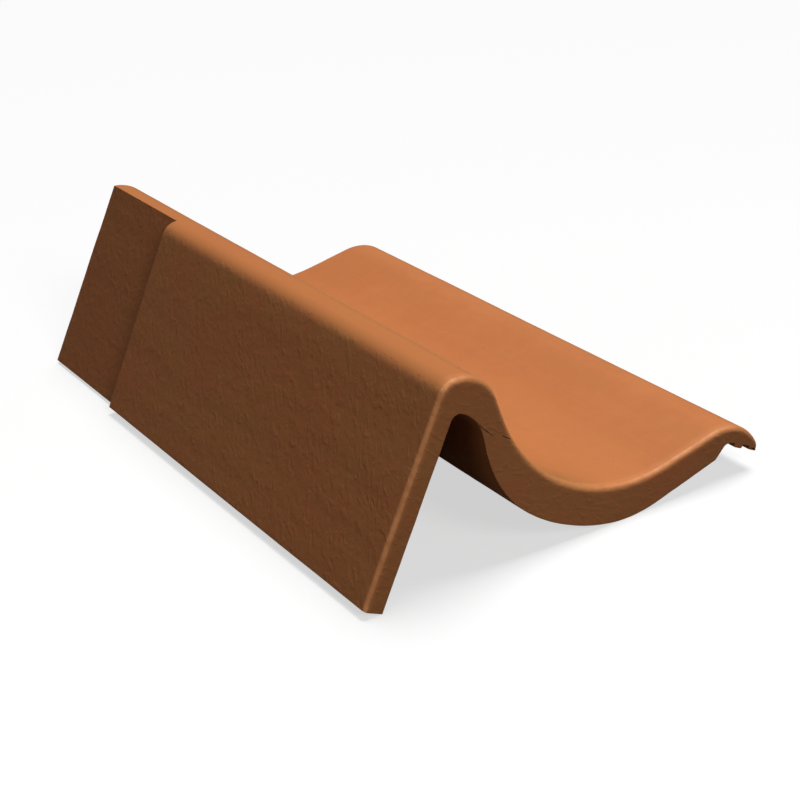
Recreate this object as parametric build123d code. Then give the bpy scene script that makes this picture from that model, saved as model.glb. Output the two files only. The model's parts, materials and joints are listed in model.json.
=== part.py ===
from build123d import *
import os
from math import asin, atan2, cos, degrees, hypot, pi, radians, sin, sqrt

# The tile is drawn upright, as it hangs on the roof, and laid down at the end.
# X runs across from the apron's inner face, Z up from the apron's bottom edge,
# Y from the foot end to the head end. All lengths are millimetres.

# overall
tile_length = 383.6
apron_thickness = 11.8
arris_radius = 3.5
head_lean = 2.5

# top of the section: crest with its shoulder, pan and roll
crest_x = 5.7
crest_top = 127.8
crest_radius = 27
shoulder_radius = 11.3
pan_x = 106
pan_depth = 47
pan_radius = 101.5
roll_x = 215.4
roll_rise = 48.4
roll_radius = 34.6
tip_turn = 34.5
tip_radius = 5.8
pan_top = crest_top - pan_depth

# underside of the section: hollow below the crest, pan with tighter flanks
crest_wall = 19
hollow_corner_radius = 5
hollow_radius = 24.2
pan_wall = 22.4
under_pan_radius = 129.9
flank_radius = 79.9
flank_turn = 13.9
hollow_top = crest_top - crest_wall
under_pan_bottom = pan_top - pan_wall

# side lock under the roll, from the lip inwards: groove, rib, groove and step
lip_straight = 0.8
lip_width = 7.5
groove_width = 7.6
groove_depth = 2.1
groove_draft = 1.2
rib_width = 5.4
rib_drop = 0.4
lock_width = 26.2
step_head_drop = 5.2
step_head_radius = 4.5
step_width = 8.9
step_height = 5.1
step_foot_radius = 2.5

# half lap at the head, cut into the apron's outer face
tongue_length = 93.7
lap_depth = 6.8

# hanging nib under the pan at the head, its middle offset from the pan's middle
# towards the crest
nib_width = 40
nib_offset = 30
nib_drop = 12
nib_setback = 24
nib_tip_length = 14
nib_root_length = 20
nib_root_rise = 13.6
nib_edge_radius = 2.5

# nail hole in the bottom of the pan, on the foot side of the nib
nail_hole_radius = 3.25
nail_hole_setback = 42

# two points closer than this are the same point
same_point = 0.001


# A bend is (x, z, radius): a left turn has a positive radius, a right turn a
# negative one and a sharp corner none. A heading is the angle from +X to +Z.
def point_on(bend, heading):
    x, z, radius = bend
    return x + radius * sin(heading), z - radius * cos(heading)


# heading of the straight run that leaves one bend and touches the next
def run_heading(bend, following):
    across = following[0] - bend[0]
    up = following[1] - bend[1]
    lean = (following[2] - bend[2]) / hypot(across, up)
    return atan2(up, across) - asin(max(-1, min(1, lean)))


# a bend of another radius that carries on smoothly from this one at the heading
def eased(bend, heading, radius):
    x, z = point_on(bend, heading)
    return x - radius * sin(heading), z + radius * cos(heading), radius


def on_section(point):
    return Vector(point[0], 0, point[1])


# closed edges round the bends, first bend a corner: an arc at each turn and a
# straight run on to the next bend
def rounded_outline(bends):
    following = bends[1:] + bends[:1]
    leaving = [run_heading(bend, after) for bend, after in zip(bends, following)]
    arriving = leaving[-1:] + leaving[:-1]
    here = on_section(bends[0])
    edges = []
    for bend, after, start, end in zip(bends, following, arriving, leaving):
        if bend[2] != 0:
            half_turn = ((end - start + pi) % (2 * pi) - pi) / 2
            middle = on_section(point_on(bend, start + half_turn))
            there = on_section(point_on(bend, end))
            edges.append(ThreePointArc(here, middle, there))
            here = there
        there = on_section(point_on(after, end))
        if (there - here).length > same_point:
            edges.append(Line(here, there))
            here = there
    return edges


def crest_bend():
    return crest_x, crest_top - crest_radius, -crest_radius


# the crest tightens here and turns down into the apron's outer face
def shoulder_bend():
    crest_centre_x, crest_centre_z, _ = crest_bend()
    x = shoulder_radius - apron_thickness
    rise = sqrt((crest_radius - shoulder_radius) ** 2 - (crest_centre_x - x) ** 2)
    return x, crest_centre_z + rise, -shoulder_radius


def roll_bend():
    return roll_x, pan_top + roll_rise - roll_radius, -roll_radius


# the roll tightens here and turns down to the lip
def tip_bend():
    return eased(roll_bend(), -radians(tip_turn), -tip_radius)


def lip_corner():
    x, z, _ = tip_bend()
    return x + tip_radius, z - lip_straight, 0


# the weathered side, from the apron's bottom edge over the tile to the lip
def top_bends():
    return [
        (-apron_thickness, 0, 0),
        shoulder_bend(),
        crest_bend(),
        (pan_x, pan_top + pan_radius, pan_radius),
        roll_bend(),
        tip_bend(),
        lip_corner(),
    ]


# the side lock, from the lip back to the foot of the step
def lock_bends():
    lip_x, lip_z, _ = lip_corner()
    groove_x = lip_x - lip_width
    rib_right_x = groove_x - groove_width
    rib_left_x = rib_right_x - rib_width
    rib_z = lip_z - rib_drop
    ceiling_z = lip_z + groove_depth
    step_head_x = lip_x - lock_width
    step_head_z = ceiling_z - step_head_drop
    return [
        (groove_x, lip_z, 0),
        (groove_x - groove_draft, ceiling_z, 0),
        (rib_right_x + groove_draft, ceiling_z, 0),
        (rib_right_x, rib_z, 0),
        (rib_left_x, rib_z, 0),
        (rib_left_x - groove_draft, ceiling_z, 0),
        (step_head_x, step_head_z, step_head_radius),
        (step_head_x - step_width, step_head_z - step_height, -step_foot_radius),
    ]


def under_pan_bend():
    return pan_x, under_pan_bottom + under_pan_radius, -under_pan_radius


# the flank towards the roll; the finished tile lies on it
def roll_side_flank():
    return eased(under_pan_bend(), pi + radians(flank_turn), -flank_radius)


def crest_side_flank():
    return eased(under_pan_bend(), pi - radians(flank_turn), -flank_radius)


# the underside, from the step back to the apron's bottom edge
def under_bends():
    return [
        roll_side_flank(),
        under_pan_bend(),
        crest_side_flank(),
        (hollow_corner_radius, hollow_top - hollow_radius, hollow_radius),
        (hollow_corner_radius, hollow_top - hollow_corner_radius, hollow_corner_radius),
        (0, 0, 0),
    ]


# foot edges of the weathered side, matched to the outline by their middles
def weathered_foot_edges(tile, outline):
    lip = on_section(lip_corner())
    gaps_to_lip = [(edge @ 1 - lip).length for edge in outline]
    weathered = outline[: gaps_to_lip.index(min(gaps_to_lip)) + 1]
    middles = [edge.position_at(0.5) for edge in weathered]
    foot_edges = tile.edges().group_by(Axis.Y)[0]
    return [
        edge
        for edge in foot_edges
        if any((edge.position_at(0.5) - middle).length < same_point for middle in middles)
    ]


# the head end leans back over the tile, the foot end is square
def head_plane():
    lean = radians(head_lean)
    return Plane(origin=(0, tile_length, 0), z_dir=(0, cos(lean), sin(lean)))


def extruded_tile():
    outline = rounded_outline(top_bends() + lock_bends() + under_bends())
    tile = extrude(make_face(outline), amount=tile_length, dir=(0, 1, 0))
    tile = fillet(weathered_foot_edges(tile, outline), arris_radius)
    return split(tile, bisect_by=head_plane(), keep=Keep.BOTTOM)


# the slice taken off the apron and the crest's shoulder at the head
def lap_cut():
    corner = Pos(-apron_thickness, tile_length - tongue_length, 0)
    return corner * Box(lap_depth, tongue_length, crest_top, align=Align.MIN)


# batten side upright, back sloping up towards the head
def hanging_nib():
    left = pan_x - nib_offset - nib_width / 2
    batten_side = tile_length - nib_setback
    tip = under_pan_bottom - nib_drop
    root = under_pan_bottom + nib_root_rise
    side = Polyline(
        (left, batten_side, root),
        (left, batten_side, tip),
        (left, batten_side + nib_tip_length, tip),
        (left, batten_side + nib_root_length, root),
        close=True,
    )
    nib = extrude(make_face(side), amount=nib_width, dir=(1, 0, 0))
    return fillet(nib.faces().sort_by(Axis.Z)[0].edges(), nib_edge_radius)


def nail_hole():
    hole = Cylinder(nail_hole_radius, crest_top, align=(Align.CENTER, Align.CENTER, Align.MIN))
    return Pos(pan_x, tile_length - nail_hole_setback, 0) * hole


# lean of the tile lying on the apron's inner bottom edge and the pan's flank
def rest_lean():
    x, z, radius = roll_side_flank()
    return run_heading((0, 0, 0), (x, z, -radius))


def laid_down(tile):
    laid = Rotation(0, degrees(rest_lean()), 0) * tile
    box = laid.bounding_box()
    return Pos(-box.center().X, -box.center().Y, -box.min.Z) * laid


os.makedirs("parts", exist_ok=True)
verge_tile = laid_down(extruded_tile() - lap_cut() + hanging_nib() - nail_hole())
export_step(verge_tile, "parts/verge_tile.step")
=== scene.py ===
import bpy
import bmesh
import json
from math import asin, atan2, ceil, cos, hypot, pi, radians, sin, sqrt
from mathutils import Matrix, Vector


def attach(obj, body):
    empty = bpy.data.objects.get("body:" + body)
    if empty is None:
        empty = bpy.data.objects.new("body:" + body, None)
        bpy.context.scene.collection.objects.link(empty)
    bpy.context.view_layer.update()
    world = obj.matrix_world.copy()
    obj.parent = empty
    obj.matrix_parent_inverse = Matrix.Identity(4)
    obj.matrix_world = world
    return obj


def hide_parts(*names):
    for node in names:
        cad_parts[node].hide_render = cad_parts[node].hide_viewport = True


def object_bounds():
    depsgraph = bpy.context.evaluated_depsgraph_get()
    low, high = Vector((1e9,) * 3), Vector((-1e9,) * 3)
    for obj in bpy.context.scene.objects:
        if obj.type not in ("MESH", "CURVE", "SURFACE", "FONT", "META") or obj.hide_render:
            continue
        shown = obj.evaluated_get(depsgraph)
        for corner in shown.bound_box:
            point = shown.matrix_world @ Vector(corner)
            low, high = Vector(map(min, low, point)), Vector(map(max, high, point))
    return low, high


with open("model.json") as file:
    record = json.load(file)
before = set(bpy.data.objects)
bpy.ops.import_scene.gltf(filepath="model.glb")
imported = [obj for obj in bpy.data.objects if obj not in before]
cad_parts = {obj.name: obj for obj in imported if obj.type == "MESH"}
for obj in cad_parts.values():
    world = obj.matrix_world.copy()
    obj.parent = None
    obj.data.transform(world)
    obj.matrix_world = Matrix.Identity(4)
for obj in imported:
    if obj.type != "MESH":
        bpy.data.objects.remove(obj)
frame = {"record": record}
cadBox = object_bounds()

view = {
    "place": (-0.4958, -0.7406, 0.4347),  # metres, in the tile's own frame
    "turn": (64.4415, 0.5529, -34.9909),  # degrees
    "lens": 70.67,
    "sensor": 36.0,
    "near": 0.01,
}


def addCamera(s):
    bpy.ops.object.camera_add(location=s["place"], rotation=[radians(a) for a in s["turn"]])
    camera = bpy.context.object
    camera.name = "camera"
    camera.data.lens = s["lens"]
    camera.data.sensor_width = s["sensor"]
    camera.data.clip_start = s["near"]
    bpy.context.scene.camera = camera


addCamera(view)
print("camera set")


# puts Blender in object mode with this piece alone selected
def pick(piece):
    if bpy.context.object and bpy.context.object.mode != "OBJECT":
        bpy.ops.object.mode_set(mode="OBJECT")
    bpy.ops.object.select_all(action="DESELECT")
    piece.select_set(True)
    bpy.context.view_layer.objects.active = piece


# the tile as it hangs on the roof, in metres: across from the apron's inner face, up from
# the apron's bottom edge, and along from the foot end
shape = {
    "length": 0.3836, "apron": 0.0118, "arris": 0.0035, "headLean": radians(2.5),
    "crestX": 0.0057, "crestTop": 0.1278, "crestRadius": 0.027, "shoulderRadius": 0.0113,
    "panX": 0.106, "panDepth": 0.047, "panRadius": 0.1015,
    "rollX": 0.2154, "rollRise": 0.0484, "rollRadius": 0.0346,
    "tipTurn": radians(34.5), "tipRadius": 0.0058,
    "crestWall": 0.019, "hollowCorner": 0.005, "hollowRadius": 0.0242,
    "panWall": 0.0224, "underRadius": 0.1299, "flankRadius": 0.0799, "flankTurn": radians(13.9),
    "lipStraight": 0.0008, "lipWidth": 0.0075, "grooveWidth": 0.0076, "grooveDepth": 0.0021,
    "grooveDraft": 0.0012, "ribWidth": 0.0054, "ribDrop": 0.0004,
    "lockWidth": 0.0262, "stepHeadDrop": 0.0052, "stepHeadRadius": 0.0045,
    "stepWidth": 0.0089, "stepHeight": 0.0051, "stepFootRadius": 0.0025,
    "tongue": 0.0937, "lap": 0.0068,
    "nibWidth": 0.04, "nibOffset": 0.03, "nibDrop": 0.012, "nibSetback": 0.024,
    "nibTip": 0.014, "nibRoot": 0.02, "nibRise": 0.0136, "nibEdge": 0.0025,
    "nailRadius": 0.00325, "nailSetback": 0.042,
}
mesh = {
    "cell": 0.0024,         # about how far apart the surface's points are
    "turn": radians(8),     # most that one step round a curve turns
    "margin": 0.004,        # how far cutters reach past the clay
    "same": 0.000002,
    "nearLap": 0.0006,      # the outline has no points this near the half lap's edge
    "arrisSteps": 6,
    "sharp": radians(30),   # edges that turn more than this are blunted
    "blunt": 0.0004,
    "bluntSteps": 2,
    "holeSides": 32,
    "flat": 0.9999,         # faces of a flat end or side have normals this close to its own
}

nail = next(m for m in frame["record"]["mounts"] if m["name"] == "nail_hole")
lean = atan2(nail["axis"][0], nail["axis"][2])  # how far the tile lies over on the floor
foot = cadBox[0][1]
corner = Vector((cadBox[0][0] + shape["apron"] * cos(lean), foot, 0))  # apron's inner bottom corner
laid = Matrix.Translation(corner) @ Matrix.Rotation(lean, 4, "Y")


# a bend is (x, z, radius): left turns are positive, right turns negative, sharp corners nought
def pointOn(bend, heading):
    return bend[0] + bend[2] * sin(heading), bend[1] - bend[2] * cos(heading)


# heading of the straight run from one bend to the next
def runHeading(bend, after):
    across, up = after[0] - bend[0], after[1] - bend[1]
    slant = (after[2] - bend[2]) / hypot(across, up)
    return atan2(up, across) - asin(max(-1, min(1, slant)))


# a bend of another radius that carries on smoothly from this one
def eased(bend, heading, radius):
    x, z = pointOn(bend, heading)
    return x - radius * sin(heading), z + radius * cos(heading), radius


def weatheredBends(s):
    crest = (s["crestX"], s["crestTop"] - s["crestRadius"], -s["crestRadius"])
    shoulderX = s["shoulderRadius"] - s["apron"]
    rise = sqrt((s["crestRadius"] - s["shoulderRadius"]) ** 2 - (s["crestX"] - shoulderX) ** 2)
    panTop = s["crestTop"] - s["panDepth"]
    roll = (s["rollX"], panTop + s["rollRise"] - s["rollRadius"], -s["rollRadius"])
    tip = eased(roll, -s["tipTurn"], -s["tipRadius"])
    return [
        (-s["apron"], 0, 0),
        (shoulderX, crest[1] + rise, -s["shoulderRadius"]),
        crest,
        (s["panX"], panTop + s["panRadius"], s["panRadius"]),
        roll,
        tip,
        (tip[0] + s["tipRadius"], tip[1] - s["lipStraight"], 0),
    ]


def lockBends(s, lip):
    groove = lip[0] - s["lipWidth"]
    ribRight = groove - s["grooveWidth"]
    ribLeft = ribRight - s["ribWidth"]
    ceiling = lip[1] + s["grooveDepth"]
    rib = lip[1] - s["ribDrop"]
    headX, headZ = lip[0] - s["lockWidth"], ceiling - s["stepHeadDrop"]
    return [
        (groove, lip[1], 0), (groove - s["grooveDraft"], ceiling, 0),
        (ribRight + s["grooveDraft"], ceiling, 0), (ribRight, rib, 0),
        (ribLeft, rib, 0), (ribLeft - s["grooveDraft"], ceiling, 0),
        (headX, headZ, s["stepHeadRadius"]),
        (headX - s["stepWidth"], headZ - s["stepHeight"], -s["stepFootRadius"]),
    ]


def underBends(s):
    panBottom = s["crestTop"] - s["panDepth"] - s["panWall"]
    hollowTop = s["crestTop"] - s["crestWall"]
    pan = (s["panX"], panBottom + s["underRadius"], -s["underRadius"])
    return [
        eased(pan, pi + s["flankTurn"], -s["flankRadius"]),
        pan,
        eased(pan, pi - s["flankTurn"], -s["flankRadius"]),
        (s["hollowCorner"], hollowTop - s["hollowRadius"], s["hollowRadius"]),
        (s["hollowCorner"], hollowTop - s["hollowCorner"], s["hollowCorner"]),
        (0, 0, 0),
    ]


# points along the arc of each bend and the run after it, one list for each bend
def outlinePoints(bends, m):
    following = bends[1:] + bends[:1]
    leaving = [runHeading(bend, after) for bend, after in zip(bends, following)]
    arriving = leaving[-1:] + leaving[:-1]
    stretches = []
    for bend, after, start, end in zip(bends, following, arriving, leaving):
        turn = (end - start + pi) % (2 * pi) - pi if bend[2] else 0
        steps = ceil(max(abs(turn) / m["turn"], abs(turn * bend[2]) / m["cell"]))
        points = [pointOn(bend, start + turn * i / max(1, steps)) for i in range(steps + 1)]
        here, there = Vector(points[-1]), Vector(pointOn(after, end))
        parts = ceil((there - here).length / m["cell"])
        points += [tuple(here.lerp(there, i / parts)) for i in range(1, parts)]
        stretches.append(points)
    return stretches


def drawOutline(s, m):
    weathered = weatheredBends(s)
    bends = weathered + lockBends(s, weathered[-1]) + underBends(s)
    stretches = outlinePoints(bends, m)
    lapX = s["lap"] - s["apron"]
    stretches = [
        [(x, z) for x, z in stretch if abs(x - lapX) > m["nearLap"]] for stretch in stretches]
    points = [laid @ Vector((x, 0, z)) for stretch in stretches for x, z in stretch]
    bpy.ops.object.select_all(action="DESELECT")
    bpy.ops.mesh.primitive_circle_add(vertices=len(points), radius=s["crestTop"])
    tile = bpy.context.object
    tile.name = "verge_tile_fired"
    for vertex, point in zip(tile.data.vertices, points):
        vertex.co = point
    upTo = sum(len(stretch) for stretch in stretches[:len(weathered) - 1]) + 1
    group = tile.vertex_groups.new(name="weathered")
    group.add(list(range(upTo)), 1.0, "REPLACE")
    pick(tile)
    bpy.ops.object.mode_set(mode="EDIT")
    bpy.ops.mesh.select_all(action="SELECT")
    bpy.ops.mesh.remove_doubles(threshold=m["same"])
    return tile


# in edit mode: selects the faces or edges that the test picks
def choose(piece, kind, test):
    bpy.ops.mesh.select_mode(type=kind)
    bpy.ops.mesh.select_all(action="DESELECT")
    edit = bmesh.from_edit_mesh(piece.data)
    for item in (edit.faces if kind == "FACE" else edit.edges):
        if test(item):
            item.select = True
    edit.select_flush_mode()
    bmesh.update_edit_mesh(piece.data)


def extrudeTile(tile, s, m):
    bpy.ops.mesh.select_all(action="SELECT")
    reach = s["length"] + m["margin"]
    bpy.ops.mesh.extrude_region_move(TRANSFORM_OT_translate={"value": (0, reach, 0)})
    bpy.ops.mesh.select_all(action="SELECT")
    headCorner = corner + Vector((0, s["length"], 0))
    headNormal = laid.to_3x3() @ Vector((0, cos(s["headLean"]), sin(s["headLean"])))
    bpy.ops.mesh.bisect(plane_co=headCorner, plane_no=headNormal, use_fill=True, clear_outer=True)
    choose(tile, "EDGE", lambda edge: edge.is_boundary)
    bpy.ops.mesh.edge_face_add()
    bpy.ops.mesh.select_all(action="SELECT")
    bpy.ops.mesh.normals_make_consistent(inside=False)


def roundFootArris(tile, s, m):
    edit = bmesh.from_edit_mesh(tile.data)
    deform = edit.verts.layers.deform.verify()
    choose(tile, "EDGE", lambda edge: all(
        abs(v.co.y - foot) < m["same"] and v[deform].get(0, 0) > 0.5 for v in edge.verts))
    bpy.ops.mesh.bevel(
        offset=s["arris"], segments=m["arrisSteps"], affect="EDGES", clamp_overlap=False)
    bpy.ops.object.mode_set(mode="OBJECT")


def cutOrJoin(tile, other, operation):
    pick(tile)
    change = tile.modifiers.new(other.name, "BOOLEAN")
    change.operation = operation
    change.solver = "EXACT"
    change.object = other
    bpy.ops.object.modifier_apply(modifier=change.name)
    bpy.data.objects.remove(other)


# a box by its corners in the hanging tile, laid down with it
def addBox(name, low, high):
    bpy.ops.object.select_all(action="DESELECT")
    bpy.ops.mesh.primitive_cube_add(size=1)
    box = bpy.context.object
    box.name = name
    size = [b - a for a, b in zip(low, high)]
    middle = [(a + b) / 2 for a, b in zip(low, high)]
    box.data.transform(Matrix.Translation(middle) @ Matrix.Diagonal((*size, 1)))
    return box


def cutLap(tile, s, m):
    low = (-s["apron"] - m["margin"], s["length"] - s["tongue"], -m["margin"])
    high = (s["lap"] - s["apron"], s["length"] + m["margin"], s["crestTop"] + m["margin"])
    cutter = addBox("lap_cutter", low, high)
    cutter.data.transform(laid)
    cutOrJoin(tile, cutter, "DIFFERENCE")


def joinNib(tile, s, m):
    panBottom = s["crestTop"] - s["panDepth"] - s["panWall"]
    left = s["panX"] - s["nibOffset"] - s["nibWidth"] / 2
    battenSide = s["length"] - s["nibSetback"]
    tipZ = panBottom - s["nibDrop"]
    nib = addBox("nib", (left, battenSide, tipZ),
                 (left + s["nibWidth"], battenSide + s["nibRoot"], panBottom + s["nibRise"]))
    bpy.ops.object.mode_set(mode="EDIT")
    choose(nib, "EDGE", lambda edge: all(
        abs(v.co.z - tipZ) < m["same"] and v.co.y > battenSide + m["same"] for v in edge.verts))
    bpy.ops.transform.translate(value=(0, s["nibTip"] - s["nibRoot"], 0))
    choose(nib, "EDGE", lambda edge: all(abs(v.co.z - tipZ) < m["same"] for v in edge.verts))
    bpy.ops.mesh.bevel(offset=s["nibEdge"], segments=m["arrisSteps"], affect="EDGES")
    bpy.ops.object.mode_set(mode="OBJECT")
    nib.data.transform(laid)
    cutOrJoin(tile, nib, "UNION")


def cutNailHole(tile, s, m):
    bpy.ops.mesh.primitive_cylinder_add(
        vertices=m["holeSides"], radius=s["nailRadius"], depth=s["crestTop"])
    punch = bpy.context.object
    punch.name = "nail_punch"
    middle = (s["panX"], s["length"] - s["nailSetback"], s["crestTop"] / 2)
    punch.data.transform(laid @ Matrix.Translation(middle))
    cutOrJoin(tile, punch, "DIFFERENCE")


# the fired edges are slightly blunt, but for the half lap's crisp step
def bluntEdges(tile, s, m):
    across = laid.to_3x3() @ Vector((1, 0, 0))
    lapFace = across.dot(corner) + s["lap"] - s["apron"] + m["same"]
    stepY = foot + s["length"] - s["tongue"]

    def isBlunt(edge):
        onLap = all(v.co.dot(across) < lapFace and v.co.y > stepY - m["same"] for v in edge.verts)
        return edge.calc_face_angle(0) > m["sharp"] and not onLap

    pick(tile)
    bpy.ops.object.mode_set(mode="EDIT")
    bpy.ops.mesh.select_mode(type="VERT")
    bpy.ops.mesh.select_all(action="SELECT")
    bpy.ops.mesh.remove_doubles(threshold=m["same"])
    choose(tile, "EDGE", isBlunt)
    bpy.ops.mesh.bevel(
        offset=m["blunt"], segments=m["bluntSteps"], affect="EDGES", clamp_overlap=False)


# cuts the picked faces across, at even steps between two places along a direction
def slicePicked(tile, test, along, first, last, m):
    count = ceil((last - first) / m["cell"])
    for i in range(1, count):
        choose(tile, "FACE", test)
        place = first + (last - first) * i / count
        bpy.ops.mesh.bisect(plane_co=along * place, plane_no=along)


def gridFlatFaces(tile, s, m):
    across = laid.to_3x3() @ Vector((1, 0, 0))
    up = laid.to_3x3() @ Vector((0, 0, 1))
    lapFace = across.dot(corner) + s["lap"] - s["apron"]
    headNormal = laid.to_3x3() @ Vector((0, cos(s["headLean"]), sin(s["headLean"])))

    def isTongue(face):
        middle = face.calc_center_median()
        isLevel = face.normal.dot(across) < -m["flat"]
        return isLevel and abs(middle.dot(across) - lapFace) < m["same"]

    def isEnd(face):
        return face.normal.y < -m["flat"] or face.normal.dot(headNormal) > m["flat"]

    slicePicked(tile, isTongue, up, 0, s["crestTop"], m)
    choose(tile, "FACE", isEnd)
    bpy.ops.mesh.inset(thickness=m["cell"] / 2)
    low, high = cadBox
    slicePicked(tile, isEnd, Vector((1, 0, 0)), low[0], high[0], m)
    slicePicked(tile, isEnd, Vector((0, 0, 1)), low[2], high[2], m)


# cuts the whole tile across its length, clear of the rounded foot arris
def gridAlong(tile, s, m):
    count = ceil(s["length"] / m["cell"])
    for i in range(2, count):
        bpy.ops.mesh.select_all(action="SELECT")
        place = (0, foot + s["length"] * i / count, 0)
        bpy.ops.mesh.bisect(plane_co=place, plane_no=(0, 1, 0))


tile = drawOutline(shape, mesh)
extrudeTile(tile, shape, mesh)
roundFootArris(tile, shape, mesh)
print("section extruded and foot arris rounded")
cutLap(tile, shape, mesh)
joinNib(tile, shape, mesh)
cutNailHole(tile, shape, mesh)
print("half lap, nib and nail hole made")
bluntEdges(tile, shape, mesh)
gridFlatFaces(tile, shape, mesh)
gridAlong(tile, shape, mesh)
bpy.ops.object.mode_set(mode="OBJECT")
print("surface divided,", len(tile.data.polygons), "faces")

# how the pressed clay departs from true, in metres from the lowest place to the highest
relief = {
    "warp": {"size": 0.070, "depth": 0.00040, "along": 2.0},    # slow bow of the drying clay
    "press": {"size": 0.014, "depth": 0.00014, "along": 1.0},   # soft lumps from the mould
    "pull": {"size": 0.018, "depth": 0.00036, "along": 10.0},   # broad bands pulled along the tile
    "drag": {"size": 0.0055, "depth": 0.00008, "along": 14.0},  # fine lines beside them
}
shading = {"smooth": radians(50), "weight": 50}


# moves the surface in and out by a cloud pattern, stretched along the tile
def roughen(tile, name, s):
    bpy.ops.object.select_all(action="DESELECT")
    bpy.ops.object.empty_add(location=corner, rotation=(0, lean, 0))
    stretch = bpy.context.object
    stretch.scale = (1, s["along"], 1)
    bpy.context.view_layer.update()
    clouds = bpy.data.textures.new(name, "CLOUDS")
    clouds.noise_scale = s["size"]
    pick(tile)
    change = tile.modifiers.new(name, "DISPLACE")
    change.texture = clouds
    change.texture_coords = "OBJECT"
    change.texture_coords_object = stretch
    change.mid_level = 0.5
    change.strength = s["depth"]
    bpy.ops.object.modifier_apply(modifier=name)
    bpy.data.objects.remove(stretch)
    bpy.data.textures.remove(clouds)


# what stands proud of the true tile's box is rubbed back to it, on the floor side too
def rubBack(tile):
    low, high = cadBox
    for vertex in tile.data.vertices:
        vertex.co = [min(max(place, a), b) for place, a, b in zip(vertex.co, low, high)]


# flat faces stay flat to the eye right up to their blunted edges
def smoothTile(tile, s):
    pick(tile)
    bpy.ops.object.shade_smooth_by_angle(angle=s["smooth"])
    weigh = tile.modifiers.new("weigh", "WEIGHTED_NORMAL")
    weigh.weight = s["weight"]
    weigh.keep_sharp = True
    bpy.ops.object.modifier_apply(modifier=weigh.name)


for name, settings in relief.items():
    roughen(tile, name, settings)
rubBack(tile)
smoothTile(tile, shading)
print("relief pressed in")


# sRGB hex to linear
def colour(hexText):
    parts = [int(hexText[i:i + 2], 16) / 255 for i in (0, 2, 4)]
    linear = [p / 12.92 if p <= 0.04045 else ((p + 0.055) / 1.055) ** 2.4 for p in parts]
    return (*linear, 1.0)


# adds a node with its settings and links; an input takes a value, another node's output, or
# the other node itself for the first output that it has on
def addNode(tree, kind, settings=None, inputs=None):
    node = tree.nodes.new(kind)
    for name, value in (settings or {}).items():
        setattr(node, name, value)
    for name, value in (inputs or {}).items():
        if isinstance(value, bpy.types.Node):
            value = next(output for output in value.outputs if output.enabled)
        if isinstance(value, bpy.types.NodeSocket):
            tree.links.new(value, node.inputs[name])
        else:
            node.inputs[name].default_value = value
    return node


def newMaterial(name):
    material = bpy.data.materials.new(name)
    material.use_nodes = True
    material.node_tree.nodes.clear()
    return material


# terracotta, pressed in a mould and fired without a glaze: the iron in the clay burns to an
# even orange brown that drifts between red and olive, and the sand on the mould leaves a fine
# leathery grain, so it is matt with only a dull sheen on the rounded edges
terracotta = {
    "clay": "CC7D44",
    "litTowardsRoll": "DA854C",          # painted light: the clay drawn lighter towards the roll
    "redder": "C97846",
    "olive": "C1824B",
    "shadeRed": "C27547",       # sides of the tile: a duller copy of the clay, painted shade
    "shadeOlive": "BD7B48",
    "paintedStepShade": "9C5A33",           # painted shade on the tongue, deepest beside the half lap's step
    "arrisHighlight": "F7A76C",         # painted highlight on the foot arris, drawn as a lighter clay
    "paintedShoulderLight": "E2A062",        # painted light, a soft lighter band along the apron's shoulder
    "paintedShade": "8E6A38",           # painted shade low in the pan behind the foot arris and down the far sides
    "fleck": "8A5030",
    "crack": "2A180E",
    "roughness": 0.66,
    "roughnessSpread": 0.08,
    "highlightRoughness": 0.45,
    "specular": 0.25,
    "driftSize": 0.055,         # metres, width of the drifts of colour
    "driftSpan": (0.36, 0.64),  # a span is the range of a pattern over which its mask fades in
    "driftShare": 0.6,          # the finer mottle has the rest
    "topDrift": 0.5,            # the top drifts less than the sides
    "mottleSize": 0.009,
    "mottleSpan": (0.3, 0.7),
    "litAcross": (0.03, 0.24),
    "tongueShadeShow": 0.24,
    "stepShadeShow": 0.36,
    "stepShadeWidth": (0.009, 0.030),  # thickest as far as the first, thin from the second
    "shoulderLightUp": (0.100, 0.117),      # up the apron, to the start of the shoulder
    "shoulderLightShow": 0.12,
    "shadeWidth": (0.00748, 0.034),    # along from the foot end: all of it, none of it
    "shadeIn": (0.030, 0.055),         # across the pan, where it comes in and goes out
    "shadeOut": (0.098, 0.132),
    "shadeShow": 0.34,
    "rollShow": 0.30,           # painted shade on the far sides of the roll and crest
    "crestShow": 0.22,
    "rollStart": (0.18, 0.20),
    "crestEnd": (0.028, 0.060),
    "highlightReach": 0.0045,        # reach of the painted highlight over the arris onto the top
    "highlightTopShow": 0.25,
    "streakShow": 0.22,
    "streakSpan": (0.45, 0.75),
    "fleckSize": 0.0052,        # spacing of the iron flecks and pits
    "fleckReach": (0.00018, 0.00063),  # real ones are 0.2 mm, drawn as coarse as shows
    "fleckLot": (0.74, 0.80),   # one in four of the pattern's cells has one
    "fleckDepth": 0.12,         # mm
    "fleckShow": 0.45,
    "grainSize": 0.0034,        # width of the strokes of the grain on the sides, as seen
    "grainLength": 2.0,         # times its width
    "grainTurn": radians(-34),  # on the apron they lean towards the head
    "grainDepth": 0.105,        # mm
    "endGrainDepth": 0.13,
    "grainSpan": (0.47, 0.66),
    "grainPatch": 0.012,        # it comes and goes in patches this wide
    "patchSpan": (0.34, 0.60),
    "grainLeast": 0.35,         # share of it that is left between the patches
    "lumpSize": 0.0048,         # soft lumps under the grain and along the foot arris
    "lumpDepth": 0.25,
    "highlightSpan": (0.35, 0.6),     # the painted highlight is strongest on the lumps, less between them
    "highlightLeast": 0.6,
    "sandSize": 0.0011,         # sand is 0.5 mm, drawn as coarse as shows
    "sandDepth": 0.028,
    "streakSize": 0.0028,
    "streakLength": 30.0,
    "streakDepth": 0.05,
}
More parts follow.
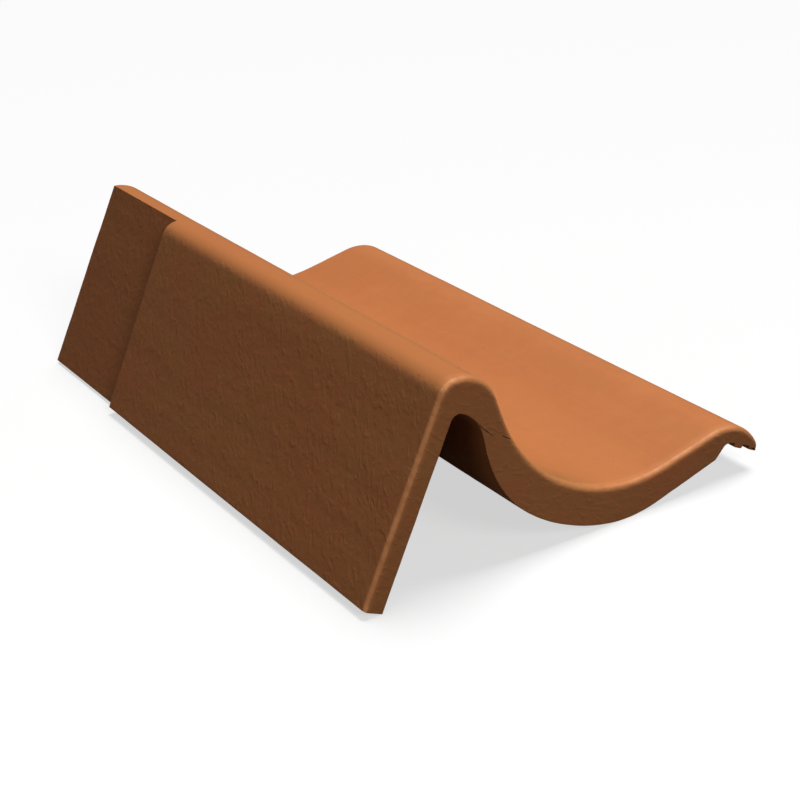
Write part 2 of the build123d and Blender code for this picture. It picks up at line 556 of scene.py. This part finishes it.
# masks by the way the surface faces: axis, where there is none of it and where there is all
facings = {
    "outer": ("X", -0.89, -0.995),     # apron's outer face, tongue included
    "foot": ("Y", -0.6, -0.95),
    "head": ("Y", 0.6, 0.95),
    "top": ("Z", 0.05, 0.5),
    "arrisFrom": ("Y", -0.06, -0.45),  # the rounded foot arris is what both of these cover
    "arrisTo": ("Y", -0.97, -0.72),
    "highlightFacing": ("X", 0.25, -0.70),     # where the painted highlight lies on the arris: most on the apron's part
    "shoulder": ("X", -0.45, -0.9),
    "farSide": ("X", -0.22, 0.16),     # faces turned away, where the painted shade lies
}
# hairline firing crack across the foot end, from the hollow's edge to the top: strokes from
# (x, z) to (x, z) with their width
crack = {
    "strokes": [
        ((0.0152, 0.1060), (0.0200, 0.1039), 0.00065),
        ((0.0200, 0.1039), (0.0262, 0.1018), 0.00034),
        ((0.0262, 0.1018), (0.0300, 0.1005), 0.00018),
        ((0.0366, 0.1013), (0.0426, 0.1003), 0.00032),
    ],
    "wander": 0.0005,
    "wanderSize": 0.0025,
    "core": 0.3,  # share of a stroke's width that is fully dark
    "depth": 0.30,
    "show": 0.85,
}


def firedTerracotta(s, facings, crack):
    material = newMaterial("fired_terracotta")
    tree = material.node_tree
    soft = {"interpolation_type": "SMOOTHSTEP"}
    plus, minus = {"operation": "ADD"}, {"operation": "SUBTRACT"}
    times, most = {"operation": "MULTIPLY"}, {"operation": "MAXIMUM"}
    blend = {"data_type": "RGBA"}

    # place and facing as the tile hangs: across, along, up
    where = addNode(tree, "ShaderNodeTexCoord")
    place = addNode(tree, "ShaderNodeMapping", inputs={
        "Vector": where.outputs["Object"], "Rotation": (0, -lean, 0),
        "Location": laid.inverted().translation})
    facing = addNode(tree, "ShaderNodeMapping", {"vector_type": "NORMAL"}, {
        "Vector": where.outputs["Normal"], "Rotation": (0, -lean, 0)})
    at = addNode(tree, "ShaderNodeSeparateXYZ", inputs={"Vector": place})
    faces = addNode(tree, "ShaderNodeSeparateXYZ", inputs={"Vector": facing})
    on = {}
    for name, (axis, none, full) in facings.items():
        on[name] = addNode(tree, "ShaderNodeMapRange", soft, {
            "Value": faces.outputs[axis], "From Min": none, "From Max": full})
    onEnd = addNode(tree, "ShaderNodeMath", most, {0: on["foot"], 1: on["head"]})
    onSide = addNode(tree, "ShaderNodeMath", most, {0: on["outer"], 1: onEnd})
    onArris = addNode(tree, "ShaderNodeMath", times, {0: on["arrisFrom"], 1: on["arrisTo"]})

    # colour drifts
    drift = addNode(tree, "ShaderNodeTexNoise", inputs={
        "Vector": place, "Scale": 1 / s["driftSize"], "Detail": 3.0})
    mottle = addNode(tree, "ShaderNodeTexNoise", inputs={
        "Vector": place, "Scale": 1 / s["mottleSize"], "Detail": 4.0, "Roughness": 0.6})
    slow = addNode(tree, "ShaderNodeMapRange", soft, {
        "Value": drift, "From Min": s["driftSpan"][0], "From Max": s["driftSpan"][1],
        "To Max": s["driftShare"]})
    quick = addNode(tree, "ShaderNodeMapRange", soft, {
        "Value": mottle, "From Min": s["mottleSpan"][0], "From Max": s["mottleSpan"][1],
        "To Max": 1 - s["driftShare"]})
    both = addNode(tree, "ShaderNodeMath", plus, {0: slow, 1: quick})
    less = addNode(tree, "ShaderNodeMath", times, {0: both, 1: s["topDrift"]})
    # painted light: the top drawn lighter towards the roll
    towardsRoll = addNode(tree, "ShaderNodeMapRange", soft, {
        "Value": at.outputs["X"], "From Min": s["litAcross"][0],
        "From Max": s["litAcross"][1]})
    clay = addNode(tree, "ShaderNodeMix", blend, {
        "Factor": towardsRoll, "A": colour(s["clay"]), "B": colour(s["litTowardsRoll"])})
    topColour = addNode(tree, "ShaderNodeMix", blend, {
        "Factor": less, "A": clay, "B": colour(s["redder"])})
    # painted shade: the apron and the ends take their own duller copy of the clay
    shadedSideColour = addNode(tree, "ShaderNodeMix", blend, {
        "Factor": both, "A": colour(s["shadeOlive"]), "B": colour(s["shadeRed"])})
    base = addNode(tree, "ShaderNodeMix", blend, {"Factor": onSide, "A": topColour, "B": shadedSideColour})

    # streaks pulled along the top
    pulled = addNode(tree, "ShaderNodeMapping", inputs={
        "Vector": place, "Scale": (1, 1 / s["streakLength"], 1)})
    streaks = addNode(tree, "ShaderNodeTexNoise", inputs={
        "Vector": pulled, "Scale": 1 / s["streakSize"], "Detail": 3.0, "Roughness": 0.55})
    mostStreak = addNode(tree, "ShaderNodeMath", times, {0: on["top"], 1: s["streakShow"]})
    streakShow = addNode(tree, "ShaderNodeMapRange", soft, {
        "Value": streaks, "From Min": s["streakSpan"][0], "From Max": s["streakSpan"][1],
        "To Max": mostStreak})
    base = addNode(tree, "ShaderNodeMix", blend, {
        "Factor": streakShow, "A": base, "B": colour(s["olive"])})

    # painted shade low in the pan behind the foot arris, and down the far sides
    mostShade = addNode(tree, "ShaderNodeMath", times, {0: on["top"], 1: s["shadeShow"]})
    inPan = addNode(tree, "ShaderNodeMapRange", soft, {
        "Value": at.outputs["X"], "From Min": s["shadeOut"][1], "From Max": s["shadeOut"][0],
        "To Max": mostShade})
    pastCrest = addNode(tree, "ShaderNodeMapRange", soft, {
        "Value": at.outputs["X"], "From Min": s["shadeIn"][0], "From Max": s["shadeIn"][1],
        "To Max": inPan})
    paintedShade = addNode(tree, "ShaderNodeMapRange", soft, {
        "Value": at.outputs["Y"], "From Min": s["shadeWidth"][1], "From Max": s["shadeWidth"][0],
        "To Max": pastCrest})
    onRoll = addNode(tree, "ShaderNodeMapRange", soft, {
        "Value": at.outputs["X"], "From Min": s["rollStart"][0], "From Max": s["rollStart"][1],
        "To Max": s["rollShow"]})
    onCrest = addNode(tree, "ShaderNodeMapRange", soft, {
        "Value": at.outputs["X"], "From Min": s["crestEnd"][1], "From Max": s["crestEnd"][0],
        "To Max": s["crestShow"]})
    onEither = addNode(tree, "ShaderNodeMath", most, {0: onRoll, 1: onCrest})
    farSide = addNode(tree, "ShaderNodeMath", times, {0: on["farSide"], 1: onEither})
    paintedShade = addNode(tree, "ShaderNodeMath", most, {0: paintedShade, 1: farSide})
    base = addNode(tree, "ShaderNodeMix", blend, {"Factor": paintedShade, "A": base, "B": colour(s["paintedShade"])})

    # iron flecks and pits
    cells = addNode(tree, "ShaderNodeTexVoronoi", inputs={
        "Vector": place, "Scale": 1 / s["fleckSize"]})
    lot = addNode(tree, "ShaderNodeSeparateColor", inputs={"Color": cells.outputs["Color"]})
    picked = addNode(tree, "ShaderNodeMapRange", soft, {
        "Value": lot.outputs["Red"], "From Min": s["fleckLot"][0], "From Max": s["fleckLot"][1]})
    fleck = addNode(tree, "ShaderNodeMapRange", soft, {
        "Value": cells.outputs["Distance"], "From Min": s["fleckReach"][1] / s["fleckSize"],
        "From Max": s["fleckReach"][0] / s["fleckSize"], "To Max": picked})
    fleckShow = addNode(tree, "ShaderNodeMath", times, {0: fleck, 1: s["fleckShow"]})
    base = addNode(tree, "ShaderNodeMix", blend, {
        "Factor": fleckShow, "A": base, "B": colour(s["fleck"])})

    # painted light along the apron's shoulder as far as the half lap, and painted shade on the tongue
    stepPlace = shape["length"] - shape["tongue"]
    onTongue = addNode(tree, "ShaderNodeMath", {"operation": "GREATER_THAN"}, {
        0: at.outputs["Y"], 1: stepPlace})
    paintedShoulderLight = addNode(tree, "ShaderNodeMapRange", soft, {
        "Value": at.outputs["Z"], "From Min": s["shoulderLightUp"][0],
        "From Max": s["shoulderLightUp"][1], "To Max": s["shoulderLightShow"]})
    paintedShoulderLight = addNode(tree, "ShaderNodeMath", times, {0: paintedShoulderLight, 1: on["shoulder"]})
    paintedShoulderLight = addNode(tree, "ShaderNodeMath", {"operation": "SUBTRACT", "use_clamp": True}, {
        0: paintedShoulderLight, 1: onTongue})
    base = addNode(tree, "ShaderNodeMix", blend, {
        "Factor": paintedShoulderLight, "A": base, "B": colour(s["paintedShoulderLight"])})
    # painted shade on the tongue, deepest beside the step
    stepShadeMask = addNode(tree, "ShaderNodeMapRange", soft, {
        "Value": at.outputs["Y"], "From Min": stepPlace + s["stepShadeWidth"][1],
        "From Max": stepPlace + s["stepShadeWidth"][0],
        "To Min": s["tongueShadeShow"], "To Max": s["stepShadeShow"]})
    stepShadeMask = addNode(tree, "ShaderNodeMath", times, {0: stepShadeMask, 1: onTongue})
    stepShadeMask = addNode(tree, "ShaderNodeMath", times, {0: stepShadeMask, 1: on["outer"]})
    base = addNode(tree, "ShaderNodeMix", blend, {"Factor": stepShadeMask, "A": base, "B": colour(s["paintedStepShade"])})

    # painted highlight on the foot arris, most where it faces the apron's way, with a lower roughness
    # there
    patches = addNode(tree, "ShaderNodeTexNoise", inputs={
        "Vector": place, "Scale": 1 / s["lumpSize"], "Detail": 2.0})
    highlightPatches = addNode(tree, "ShaderNodeMapRange", inputs={
        "Value": patches, "From Min": s["highlightSpan"][0], "From Max": s["highlightSpan"][1],
        "To Min": s["highlightLeast"]})
    highlightMask = addNode(tree, "ShaderNodeMath", times, {0: onArris, 1: on["highlightFacing"]})
    mostTopHighlight = addNode(tree, "ShaderNodeMath", times, {0: on["top"], 1: s["highlightTopShow"]})
    topHighlight = addNode(tree, "ShaderNodeMapRange", soft, {
        "Value": at.outputs["Y"], "From Min": shape["arris"] + s["highlightReach"],
        "From Max": shape["arris"], "To Max": mostTopHighlight})
    highlightMask = addNode(tree, "ShaderNodeMath", most, {0: highlightMask, 1: topHighlight})
    highlightMask = addNode(tree, "ShaderNodeMath", times, {0: highlightMask, 1: highlightPatches})
    base = addNode(tree, "ShaderNodeMix", blend, {"Factor": highlightMask, "A": base, "B": colour(s["arrisHighlight"])})

    # crack: how near the place is to each of its strokes
    wobble = addNode(tree, "ShaderNodeTexNoise", inputs={
        "Vector": place, "Scale": 1 / crack["wanderSize"]})
    wobble = addNode(tree, "ShaderNodeVectorMath", minus, {
        0: wobble.outputs["Color"], 1: (0.5, 0.5, 0.5)})
    wobble = addNode(tree, "ShaderNodeVectorMath", {"operation": "SCALE"}, {
        0: wobble, "Scale": crack["wander"]})
    flat = addNode(tree, "ShaderNodeVectorMath", plus, {0: place, 1: wobble})
    flat = addNode(tree, "ShaderNodeVectorMath", times, {0: flat, 1: (1, 0, 1)})
    lines = None
    for start, end, width in crack["strokes"]:
        start, end = Vector((start[0], 0, start[1])), Vector((end[0], 0, end[1]))
        along = (end - start).normalized()
        fromStart = addNode(tree, "ShaderNodeVectorMath", minus, {0: flat, 1: start})
        reach = addNode(tree, "ShaderNodeVectorMath", {"operation": "DOT_PRODUCT"}, {
            0: fromStart, 1: along})
        reach = addNode(tree, "ShaderNodeClamp", inputs={
            "Value": reach, "Max": (end - start).length})
        nearest = addNode(tree, "ShaderNodeVectorMath", {"operation": "SCALE"}, {
            0: along, "Scale": reach})
        gap = addNode(tree, "ShaderNodeVectorMath", {"operation": "DISTANCE"}, {
            0: fromStart, 1: nearest})
        line = addNode(tree, "ShaderNodeMapRange", soft, {
            "Value": gap, "From Min": width, "From Max": crack["core"] * width, "To Max": on["foot"]})
        lines = addNode(tree, "ShaderNodeMath", most, {0: lines, 1: line}) if lines else line
    crackShow = addNode(tree, "ShaderNodeMath", times, {0: lines, 1: crack["show"]})
    base = addNode(tree, "ShaderNodeMix", blend, {
        "Factor": crackShow, "A": base, "B": colour(s["crack"])})

    # height in mm: strokes of grain in patches, soft lumps, sand, streaks, pits and the crack
    leaning = addNode(tree, "ShaderNodeMapping", {"vector_type": "TEXTURE"}, {
        "Vector": place, "Rotation": (s["grainTurn"], 0, 0), "Scale": (1, 1, s["grainLength"])})
    level = addNode(tree, "ShaderNodeMapping", inputs={
        "Vector": place, "Scale": (1 / s["grainLength"], 1, 1)})
    coming = addNode(tree, "ShaderNodeTexNoise", inputs={
        "Vector": place, "Scale": 1 / s["grainPatch"], "Detail": 1.0})
    coming = addNode(tree, "ShaderNodeMapRange", soft, {
        "Value": coming, "From Min": s["patchSpan"][0], "From Max": s["patchSpan"][1],
        "To Min": s["grainLeast"]})
    height = addNode(tree, "ShaderNodeMath", times, {0: streaks, 1: s["streakDepth"]})
    for stretched, mask, depth in ((leaning, on["outer"], s["grainDepth"]),
                                   (level, onEnd, s["endGrainDepth"])):
        strokes = addNode(tree, "ShaderNodeTexNoise", inputs={
            "Vector": stretched, "Scale": 1 / s["grainSize"], "Detail": 1.0, "Distortion": 0.5})
        strokes = addNode(tree, "ShaderNodeMapRange", soft, {
            "Value": strokes, "From Min": s["grainSpan"][0], "From Max": s["grainSpan"][1],
            "To Min": -depth / 2, "To Max": depth / 2})
        strokes = addNode(tree, "ShaderNodeMath", times, {0: strokes, 1: coming})
        strokes = addNode(tree, "ShaderNodeMath", times, {0: strokes, 1: mask})
        height = addNode(tree, "ShaderNodeMath", plus, {0: height, 1: strokes})
    sand = addNode(tree, "ShaderNodeTexNoise", inputs={
        "Vector": place, "Scale": 1 / s["sandSize"], "Detail": 2.0, "Roughness": 0.6})
    lumpy = addNode(tree, "ShaderNodeMath", most, {0: onSide, 1: onArris})
    lumps = addNode(tree, "ShaderNodeMath", minus, {0: patches, 1: 0.5})  # the middle of a noise
    lumps = addNode(tree, "ShaderNodeMath", times, {0: lumps, 1: lumpy})
    for part, sign, depth in ((lumps, plus, s["lumpDepth"]), (sand, plus, s["sandDepth"]),
                              (fleck, minus, s["fleckDepth"]), (lines, minus, crack["depth"])):
        part = addNode(tree, "ShaderNodeMath", times, {0: part, 1: depth})
        height = addNode(tree, "ShaderNodeMath", sign, {0: height, 1: part})
    bump = addNode(tree, "ShaderNodeBump", inputs={
        "Strength": 1.0, "Distance": 0.001, "Height": height})

    rough = addNode(tree, "ShaderNodeMapRange", inputs={
        "Value": mottle, "To Min": s["roughness"] - s["roughnessSpread"] / 2,
        "To Max": s["roughness"] + s["roughnessSpread"] / 2})
    closer = addNode(tree, "ShaderNodeMath", times, {0: highlightMask, 1: s["roughness"] - s["highlightRoughness"]})
    rough = addNode(tree, "ShaderNodeMath", minus, {0: rough, 1: closer})
    shader = addNode(tree, "ShaderNodeBsdfPrincipled", inputs={
        "Base Color": base, "Roughness": rough, "Specular IOR Level": s["specular"], "Normal": bump})
    addNode(tree, "ShaderNodeOutputMaterial", inputs={"Surface": shader})
    return material


tile.data.materials.clear()
tile.data.materials.append(firedTerracotta(terracotta, facings, crack))
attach(tile, "root")
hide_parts("verge_tile")
print("terracotta on")

floorLook = {
    "size": 30.0,
    "white": "FFFFFF",
    "matt": "AEAEAE",    # share of the white that the shadow takes away
    "glow": 0.62,        # share that it doesn't
    "bounce": "383838",  # what the floor gives back to the tile
}


def addFloor(s):
    bpy.ops.object.select_all(action="DESELECT")
    bpy.ops.mesh.primitive_plane_add(size=s["size"], location=(0, 0, 0))
    floor = bpy.context.object
    floor.name = "floor"
    material = newMaterial("studio_floor")
    tree = material.node_tree
    path = addNode(tree, "ShaderNodeLightPath")
    inView = addNode(tree, "ShaderNodeMath", {"operation": "MAXIMUM"}, {
        0: path.outputs["Is Camera Ray"], 1: path.outputs["Is Transmission Ray"]})
    shown = addNode(tree, "ShaderNodeMath", {"operation": "MAXIMUM"}, {
        0: inView, 1: path.outputs["Is Glossy Ray"]})
    paint = addNode(tree, "ShaderNodeMix", {"data_type": "RGBA"}, {
        "Factor": shown, "A": colour(s["bounce"]), "B": colour(s["matt"])})
    matt = addNode(tree, "ShaderNodeBsdfDiffuse", inputs={"Color": paint})
    share = addNode(tree, "ShaderNodeMath", {"operation": "MULTIPLY"}, {0: inView, 1: s["glow"]})
    glow = addNode(tree, "ShaderNodeEmission", inputs={
        "Color": colour(s["white"]), "Strength": share})
    shader = addNode(tree, "ShaderNodeAddShader", inputs={0: matt, 1: glow})
    addNode(tree, "ShaderNodeOutputMaterial", inputs={"Surface": shader})
    floor.data.materials.append(material)


addFloor(floorLook)

key = {"from": (0.31, 0.08, 0.92), "away": 3.0, "strength": 2.44, "spread": radians(30)}
lamps = {
    "front": {"from": (-0.10, -0.80, 0.60), "away": 2.6, "size": 0.8, "power": 13.8},
    "side": {"from": (-0.88, -0.38, 0.30), "away": 1.6, "size": 0.6, "power": 0.75},
}
sky = {"light": 0.03, "seen": 1.0, "sheen": 0.14}


# a broad soft light far overhead, so the floor is evenly lit
def addKey(s):
    direction = Vector(s["from"]).normalized()
    bpy.ops.object.light_add(type="SUN", location=direction * s["away"])
    lamp = bpy.context.object
    lamp.name = "key"
    lamp.rotation_euler = direction.to_track_quat("Z", "Y").to_euler()
    lamp.data.energy = s["strength"]
    lamp.data.angle = s["spread"]


def addLamp(name, s):
    direction = Vector(s["from"]).normalized()
    bpy.ops.object.light_add(type="AREA", location=direction * s["away"])
    lamp = bpy.context.object
    lamp.name = name
    lamp.rotation_euler = direction.to_track_quat("Z", "Y").to_euler()
    lamp.data.shape = "DISK"
    lamp.data.size = s["size"]
    lamp.data.energy = s["power"]


def setSky(s):
    world = bpy.data.worlds.new("studio")
    bpy.context.scene.world = world
    world.use_nodes = True
    tree = world.node_tree
    tree.nodes.clear()
    path = addNode(tree, "ShaderNodeLightPath")
    inView = addNode(tree, "ShaderNodeMath", {"operation": "MAXIMUM"}, {
        0: path.outputs["Is Camera Ray"], 1: path.outputs["Is Transmission Ray"]})
    sheen = addNode(tree, "ShaderNodeMath", {"operation": "MULTIPLY"}, {
        0: path.outputs["Is Glossy Ray"], 1: s["sheen"]})
    shown = addNode(tree, "ShaderNodeMath", {"operation": "MAXIMUM"}, {0: inView, 1: sheen})
    strength = addNode(tree, "ShaderNodeMix", {"data_type": "FLOAT"}, {
        "Factor": shown, "A": s["light"], "B": s["seen"]})
    ground = addNode(tree, "ShaderNodeBackground", inputs={
        "Color": colour("FFFFFF"), "Strength": strength})
    addNode(tree, "ShaderNodeOutputWorld", inputs={"Surface": ground})


addKey(key)
for name, settings in lamps.items():
    addLamp(name, settings)
setSky(sky)
bpy.context.scene.view_settings.view_transform = "Standard"
print("floor and light set")
